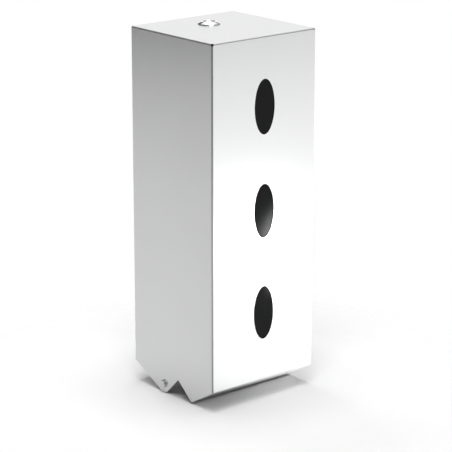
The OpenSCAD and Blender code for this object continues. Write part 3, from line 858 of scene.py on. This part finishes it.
def thread(bm, centre, core_r, crest_r, low, high, pitch):
    """A thread that winds up a barrel, with its ends sunk in it."""
    steps = 48
    fade_steps = 8
    root_r = core_r - 0.2
    end_r = core_r - 0.1
    half = pitch * 0.42
    flat = half * 0.2
    count = int((high - low) / pitch * steps)
    rings = []
    for i in range(count + 1):
        angle = 2 * math.pi * i / steps
        height = low + pitch * i / steps
        fade = min(1, i / fade_steps, (count - i) / fade_steps)
        crest = end_r + (crest_r - end_r) * fade
        profile = ((root_r, -half), (crest, -flat), (crest, flat), (root_r, half))
        rings.append([
            bm.verts.new(on_axis("z", centre, radius, angle, height + rise)) for radius, rise in profile
        ])
    faces = []
    for lower, upper in zip(rings, rings[1:]):
        for k in range(4):
            j = (k + 1) % 4
            faces.append(bm.faces.new((lower[k], lower[j], upper[j], upper[k])))
    faces.append(bm.faces.new(rings[0]))
    faces.append(bm.faces.new(list(reversed(rings[-1]))))
    bmesh.ops.recalc_face_normals(bm, faces=faces)


def hex_nut(bm, centre, half_across, bore_r, low, high):
    """A nut with chamfered corners, top and bottom."""
    cone = math.tan(math.radians(30))
    face_r = half_across * 0.97
    chamfer = 0.6
    sixth = math.pi / 3
    rings = [[] for _ in range(8)]
    for i in range(FINE_STEPS):
        angle = 2 * math.pi * i / FINE_STEPS
        from_flat = (angle + sixth / 2) % sixth - sixth / 2
        flat_r = half_across / math.cos(from_flat)
        drop = (flat_r - face_r) * cone
        profile = (
            (bore_r + chamfer, low), (face_r, low), (flat_r, low + drop), (flat_r, high - drop),
            (face_r, high), (bore_r + chamfer, high), (bore_r, high - chamfer), (bore_r, low + chamfer),
        )
        for ring, (radius, height) in zip(rings, profile):
            ring.append(bm.verts.new(on_axis("z", centre, radius, angle + math.pi / 2, height)))
    faces = []
    for lower, upper in zip(rings, rings[1:] + rings[:1]):
        for i in range(FINE_STEPS):
            j = (i + 1) % FINE_STEPS
            faces.append(bm.faces.new((lower[i], lower[j], upper[j], upper[i])))
    bmesh.ops.recalc_face_normals(bm, faces=faces)


# Spindles

def make_spindle(name):
    """An axle, its two bushings and its roller."""
    axle = Box(name + "_axle")
    centre = (0, axle.middle.y, axle.middle.z)
    axle_r = axle.size.y / 2
    run_gap = 0.08
    make_axle(name, centre, axle_r, axle.high.x)
    make_bushings(name, centre, axle_r)
    make_roller(name, centre, axle_r + run_gap)


def make_axle(name, centre, axle_r, end):
    """A bar with chamfered ends, each with a centre mark."""
    chamfer = 0.8
    mark_r = 1.2
    mark_edge_r = 0.9
    mark_edge_depth = 0.1
    mark_depth = 0.8
    half = [
        (axle_r, end - chamfer, 0.4), (axle_r - chamfer, end, 0.2), (mark_r, end),
        (mark_edge_r, end - mark_edge_depth), (0, end - mark_depth),
    ]
    turned(
        name + "_axle_turned", rounded(mirror_of(half) + half, 3), "x", centre,
        "plated_steel", name + "_spindle", name + "_axle",
    )


def make_bushings(name, centre, axle_r):
    """Two nylon bushings with a flange on each side of the guide and a ring-shaped recess outside."""
    box = Box(name + "_bushings")
    flange_r = box.size.y / 2
    flange_t = 1.3
    hub_r = 6
    flange_pitch = 3.4
    recess_rim_r = 7.4
    recess_r = 7.1
    boss_foot_r = 5.6
    boss_r = 5.3
    out = box.high.x
    inner = out - flange_t - flange_pitch
    recess_x = out - 0.35
    outline = rounded([
        (axle_r, inner, 0.25), (flange_r, inner, 0.35), (flange_r, inner + flange_t, 0.35),
        (hub_r, inner + flange_t, 0.2), (hub_r, out - flange_t, 0.2), (flange_r, out - flange_t, 0.35),
        (flange_r, out, 0.45), (recess_rim_r, out, 0.15), (recess_r, recess_x, 0.15),
        (boss_foot_r, recess_x, 0.15), (boss_r, out, 0.15), (axle_r, out, 0.3),
    ], 3)
    bm = bmesh.new()
    for turn in (-1, 1):
        lathe(bm, flipped(outline, turn), "x", centre)
    piece_from(bm, name + "_bushings_moulded", "nylon", name + "_spindle", name + "_bushings")


def make_roller(name, centre, bore_r):
    """A moulded tube with six ribs, a groove near each end, dished ends and a hub."""
    box = Box(name + "_roller")
    crest_r = box.size.y / 2
    hub_r = 7
    hub_x = box.high.x
    hub_reach = 3.9
    tube_r = 14
    tube_x = hub_x - hub_reach
    chamfer = 0.4
    groove_low = tube_x - 5
    groove_high = tube_x - 3
    groove_depth = 0.4
    groove_r = tube_r - groove_depth
    dish_rim_r = 12.2
    dish_r = 11.6
    collar_foot_r = 9.4
    collar_r = 8.8
    dish_depth = 1.2
    dish_x = tube_x - dish_depth
    half = [
        (tube_r, 0), (tube_r, groove_low, 0.2), (groove_r, groove_low + groove_depth, 0.2),
        (groove_r, groove_high - groove_depth, 0.2), (tube_r, groove_high, 0.2), (tube_r, tube_x, 0.9),
        (dish_rim_r, tube_x, 0.3), (dish_r, dish_x, 0.3), (collar_foot_r, dish_x, 0.3),
        (collar_r, tube_x, 0.3), (hub_r, tube_x, 0.3), (hub_r, hub_x, 0.4),
        (bore_r + chamfer, hub_x), (bore_r, hub_x - chamfer),
    ]
    bm = bmesh.new()
    lathe(bm, rounded(half + mirror_of(half[1:]), 3), "x", centre)
    ribs = 6
    rib_r = 1.2
    rib_inset = 1.5
    piece_name = name + "_roller_ribbed"
    mesh = evaluated(piece_name, to_mesh(piece_name + "_tube", bm), RINGS, {
        "Count": ribs, "Length": 2 * (tube_x - rib_inset) * MM, "Radius": (crest_r - rib_r) * MM,
        "Rib Radius": rib_r * MM, "Centre": Vector(centre) * MM, "Finish": FINISHES["black_plastic"],
    })
    smooth_by_angle(mesh)
    finish_piece(
        new_object(piece_name, mesh), "black_plastic", name + "_roll_tube", name + "_roller",
    )


def make_buffers():
    """Two low rubber buttons with a dimple, on the top flange."""
    box = Box("cover_buffers")
    radius = box.size.y / 2
    rise = box.size.z
    shoulder_r = radius - 0.3
    shoulder_z = rise * 0.6
    crown_r = radius - 1.6
    dimple_r = 1.8
    dimple_floor_r = 1.2
    dimple_z = rise - 0.5
    bm = bmesh.new()
    lathe(bm, rounded([
        (0, 0), (radius, 0, 0.2), (shoulder_r, shoulder_z, 0.4), (crown_r, rise, 0.5),
        (dimple_r, rise, 0.3), (dimple_floor_r, dimple_z, 0.3), (0, dimple_z),
    ]), "z", (0, 0, 0), steps=48)
    in_rows(
        "buffers_dimpled", bm, "rubber", "housing", "cover_buffers",
        first=(box.high.x - radius, box.middle.y, box.low.z), both_sides=True,
    )


ROWS = row_tree()
RINGS = ring_tree()


# Nodes of the CAD that stay, with the width of their broken edges in millimetres

BROKEN_EDGES = {
    "cover_shell": 0.18, "back_plate": 0.25, "left_guide": 0.25, "right_guide": 0.25, "lock_catch": 0.3,
    "lock_cam": 0.3, "window_pane_top": 0.25, "window_pane_middle": 0.25, "window_pane_bottom": 0.25,
}


def break_edges():
    """Takes the sharp edges off the sheet parts, as deburring does."""
    for name, width in BROKEN_EDGES.items():
        node = NODES[name]
        weld = node.modifiers.new("weld", "WELD")
        weld.merge_threshold = 0.002 * MM
        plain = node.modifiers.new("plain", "DECIMATE")
        plain.decimate_type = "DISSOLVE"
        plain.angle_limit = math.radians(0.4)
        bevel = node.modifiers.new("edges", "BEVEL")
        bevel.width = width * MM
        bevel.segments = 2
        bevel.limit_method = "ANGLE"
        bevel.angle_limit = math.radians(35)
        bevel.harden_normals = True


def dress_nodes():
    """Gives each node of the CAD the finish of its slot in the record."""
    for part in frame["record"]["subparts"]:
        node = NODES[part["node"]]
        node.data.materials.clear()
        node.data.materials.append(FINISHES[part["material_slot"]])


# The stage: floor, cards, lamps, world and camera

def stage_piece(name, corners, material):
    """A flat stage piece through four corners."""
    mesh = bpy.data.meshes.new(name)
    mesh.from_pydata(corners, [], [range(len(corners))])
    mesh.materials.append(material)
    piece = new_object(name, mesh)
    return piece


def mirror_card(name, corners, material):
    """A card that only reflections show. It gives the metal its tones."""
    card = stage_piece(name, corners, material)
    card.visible_camera = False
    card.visible_diffuse = False
    card.visible_shadow = False
    card.visible_transmission = False
    return card


def make_floor():
    """A floor that the camera sees, round the object's foot, and a wide floor that lights and mirrors.

    The real dispenser hangs on a wall, and its open cover hangs below its foot. The seen floor fades out into
    the white beyond, and it clears above a piece that hangs below it. Both are clear from underneath. The
    wide floor lies just above the seen one, which would else find it below itself and clear.
    """
    seen_reach = 0.4
    wide_reach = 12
    fade_start = 0.2
    fade_end = 0.38
    look_below = 0.6
    clear_fast = 20
    middle = Vector((
        (cad_low.x + cad_high.x) / 2, (cad_low.y + cad_high.y) / 2, cad_low.z - 0.02 * MM,
    ))
    wide_middle = middle + Vector((0, 0, 0.01 * MM))

    def build_seen(shading):
        spot = shading.node("ShaderNodeTexCoord")["Object"]
        away = shading.vectors("DISTANCE", spot, middle)["Value"]
        below = shading.node(
            "ShaderNodeAmbientOcclusion", {"inside": True, "samples": 16}, {"Distance": look_below},
        )
        hanging = (1 - below["AO"]) * clear_fast
        return paper(shading, 1.0, hanging.at_least(ramp(shading, away, fade_start, fade_end, 0, 1)))

    seen = stage_piece(
        "floor", square(middle, (1, 0, 0), (0, 1, 0), seen_reach), stage_material("floor_paper", build_seen),
    )
    seen.visible_diffuse = False
    seen.visible_glossy = False
    wide = stage_piece(
        "wide_floor", square(wide_middle, (1, 0, 0), (0, 1, 0), wide_reach),
        stage_material("wide_floor_paper", lambda shading: paper(shading, 0.8, 0)),
    )
    wide.visible_camera = False


def paper(shading, grey, clearness):
    """Pale paper, which may be clear in places. It is clear from underneath."""
    solid = shading.node("ShaderNodeBsdfDiffuse", {}, {"Color": (grey, grey, grey, 1)})["BSDF"]
    clear = shading.node("ShaderNodeBsdfTransparent")["BSDF"]
    under = shading.node("ShaderNodeNewGeometry")["Backfacing"]
    return shading.node("ShaderNodeMixShader", {}, {
        0: under.at_least(clearness).at_most(1), 1: solid, 2: clear,
    })["Shader"]


def stage_material(name, build):
    """A stage material from a function that makes its shader."""
    paint = bpy.data.materials.new(name)
    paint.use_nodes = True
    shading = Shading(paint.node_tree)
    shading.node("ShaderNodeOutputMaterial", {}, {"Surface": build(shading)})
    return paint


def square(centre, across, up, reach):
    """The corners of a square about a centre, along two unit directions."""
    centre, across, up = Vector(centre), Vector(across), Vector(up)
    return [centre + across * (reach * i) + up * (reach * j) for i, j in CORNERS]


def over(shading, tint, light):
    """A clear shader that tints what lies behind it and adds light to it."""
    clear = shading.node("ShaderNodeBsdfTransparent", {}, {"Color": tint})["BSDF"]
    glow = shading.node("ShaderNodeEmission", {}, {"Strength": light})["Emission"]
    return shading.node("ShaderNodeAddShader", {}, {0: glow, 1: clear})["Shader"]


def ramp(shading, value, first, last, start, end):
    """Runs smoothly from start to end as a value runs from first to last."""
    return shading.node("ShaderNodeMapRange", {"interpolation_type": "SMOOTHSTEP"}, {
        "Value": value, "From Min": first, "From Max": last, "To Min": start, "To Max": end,
    })["Result"]


def make_floor_tones():
    """What the metal sees in the floor: brighter to the front right, darker to the near left corner."""
    corner = (cad_low.x, cad_low.y, cad_low.z)
    to_right = (0.666, -0.746, 0)
    to_left = (-0.746, -0.666, 0)
    reach = 3
    brightest = 0.57
    darkest = 0.33

    def build(shading):
        spot = shading.node("ShaderNodeTexCoord")["Object"]
        away = shading.vectors("SUBTRACT", spot, corner)["Vector"]
        heading = shading.vectors("NORMALIZE", away)["Vector"]
        near_left = shading.vectors("DOT_PRODUCT", heading, to_left)["Value"]
        right = shading.vectors("DOT_PRODUCT", spot, to_right)["Value"]
        rising = ramp(shading, right, 0.05, 0.17, 0, brightest)
        falling = ramp(shading, right, 0.6, 4.0, 1, 0.75)
        shadow = ramp(shading, near_left, -0.05, 0.5, 0, 1)
        return over(shading, shading.shade(shadow, [1.0] * 3, [darkest] * 3), rising * falling)

    mirror_card(
        "floor_tones", square((0, 0, cad_low.z + 1 * MM), (1, 0, 0), (0, 1, 0), reach),
        stage_material("floor_tones", build),
    )


def make_pane_glow():
    """The left part of a soft light, which the dark panes mirror at their right edges."""
    centre = Vector((0.222, -0.320, -0.133))
    across = Vector((0.746, 0.666, 0)) * 0.065
    up = Vector((0.193, -0.216, 0.957)) * 0.080
    seen_share = 0.4
    peak = 60

    def build(shading):
        spot = shading.node("ShaderNodeTexCoord")["Object"]
        away = shading.vectors("SUBTRACT", spot, centre)["Vector"]
        u, v = (
            shading.vectors("DOT_PRODUCT", away, axis / axis.length_squared)["Value"] for axis in (across, up)
        )
        return over(shading, (1, 1, 1, 1), ramp(shading, u * u + v * v, 0, 1, peak, 0))

    left = centre - across
    right = centre - across * seen_share
    mirror_card(
        "pane_glow", [left - up, right - up, right + up, left + up], stage_material("pane_glow", build),
    )


def plain_card(name, grey):
    """The material of a card of one even grey."""
    return stage_material(name, lambda shading: shading.node("ShaderNodeEmission", {}, {
        "Color": (grey, grey, grey, 1), "Strength": 1.0,
    })["Emission"])


def make_wall(name, radius, bearings, levels, grey):
    """A curved card about the lock's axis, between two heights.

    Its bearings are in degrees from -Y to the left.
    """
    steps = 24
    paint = plain_card(name, grey)
    first, last = bearings
    posts = []
    for i in range(steps + 1):
        bearing = math.radians(first + (last - first) * i / steps)
        posts.append(Vector((-radius * math.sin(bearing), LOCK_Y - radius * math.cos(bearing), 0)))
    foot, top = (Vector((0, 0, level)) for level in levels)
    for i, (a, b) in enumerate(zip(posts, posts[1:])):
        mirror_card(f"{name}_{i}", [a + foot, b + foot, b + top, a + top], paint)


def make_facing_card(name, centre, reach, grey):
    """A square card that faces the middle of the wall plate."""
    centre = Vector(centre)
    across = centre.cross(Vector((0, 0, 1))).normalized()
    up = across.cross(centre).normalized()
    mirror_card(name, square(centre, across, up, reach), plain_card(name, grey))


def make_lamp(name, place, target, side, power):
    """A square lamp that neither the camera nor the metal sees."""
    lamp = bpy.data.lights.new(name, "AREA")
    lamp.shape = "RECTANGLE"
    lamp.size = side
    lamp.size_y = side
    lamp.energy = power
    made = bpy.data.objects.new(name, lamp)
    made.location = place
    made.rotation_euler = (Vector(target) - Vector(place)).to_track_quat("-Z", "Y").to_euler()
    made.visible_camera = False
    made.visible_glossy = False
    bpy.context.scene.collection.objects.link(made)


def make_world():
    """A white world, dimmer where it only lights."""
    fill = 0.28
    world = bpy.data.worlds.new("studio")
    bpy.context.scene.world = world
    world.use_nodes = True
    sky = Shading(world.node_tree)
    ray = sky.node("ShaderNodeLightPath")
    shown = ray["Is Camera Ray"].at_least(ray["Is Glossy Ray"]).at_least(ray["Is Transmission Ray"])
    glow = sky.node("ShaderNodeBackground", {}, {
        "Color": (1, 1, 1, 1), "Strength": fill + shown * (1 - fill),
    })
    sky.node("ShaderNodeOutputWorld", {}, {"Surface": glow["Background"]})


def make_camera():
    """The camera, as fitted to the object's edges in the photograph."""
    camera = bpy.data.objects.new("camera", bpy.data.cameras.new("camera"))
    camera.data.sensor_width = 36
    camera.data.lens = 158.945
    camera.data.clip_start = 0.05
    camera.location = (-1.43938, -1.78498, 0.61663)
    camera.rotation_euler = [math.radians(angle) for angle in (73.808, -0.022, -40.112)]
    bpy.context.scene.collection.objects.link(camera)
    bpy.context.scene.camera = camera


def make_studio():
    """The stage. The cards' places and greys are chosen so that the metal has the photograph's tones."""
    middle = (0, -0.07, 0)
    dark = 0.16
    foot = cad_low.z
    make_floor()
    make_world()
    make_camera()
    make_wall("near_wall", 1.2, (-10, 95), (foot, 0.27), dark)
    make_wall("left_wall", 1.2, (42, 95), (0.27, 1.0), dark)
    make_wall("near_glow", 1.15, (-10, 38), (0.3, 0.8), 1.6)
    make_wall("far_wall", 2.3, (85, 203), (foot, 2.37), dark)
    make_wall("right_wall", 1.5, (238, 350), (0.3, 1.5), 0.38)
    make_facing_card("high_card", (1.28, -0.58, 1.43), 0.7, 0.6)
    make_facing_card("lock_card", (0.19, 0.13, 1.68), 0.5, 3.0)
    make_floor_tones()
    make_pane_glow()
    make_lamp("top_lamp", (0, -0.07, 3.2), middle, 1.3, 53)
    make_lamp("front_lamp", (-1.06, -1.13, 2.6), middle, 1.2, 23)
    make_lamp("back_lamp", (0.3, 2.5, 1.5), middle, 1.2, 16)
    bpy.context.scene.view_settings.view_transform = "Standard"


dress_nodes()
make_rivets()
make_star_nuts()
make_hinge()
make_lock()
make_plug()
make_cam_screw()
for spindle in ("lower", "middle", "top"):
    make_spindle(spindle)
make_buffers()
break_edges()
make_studio()
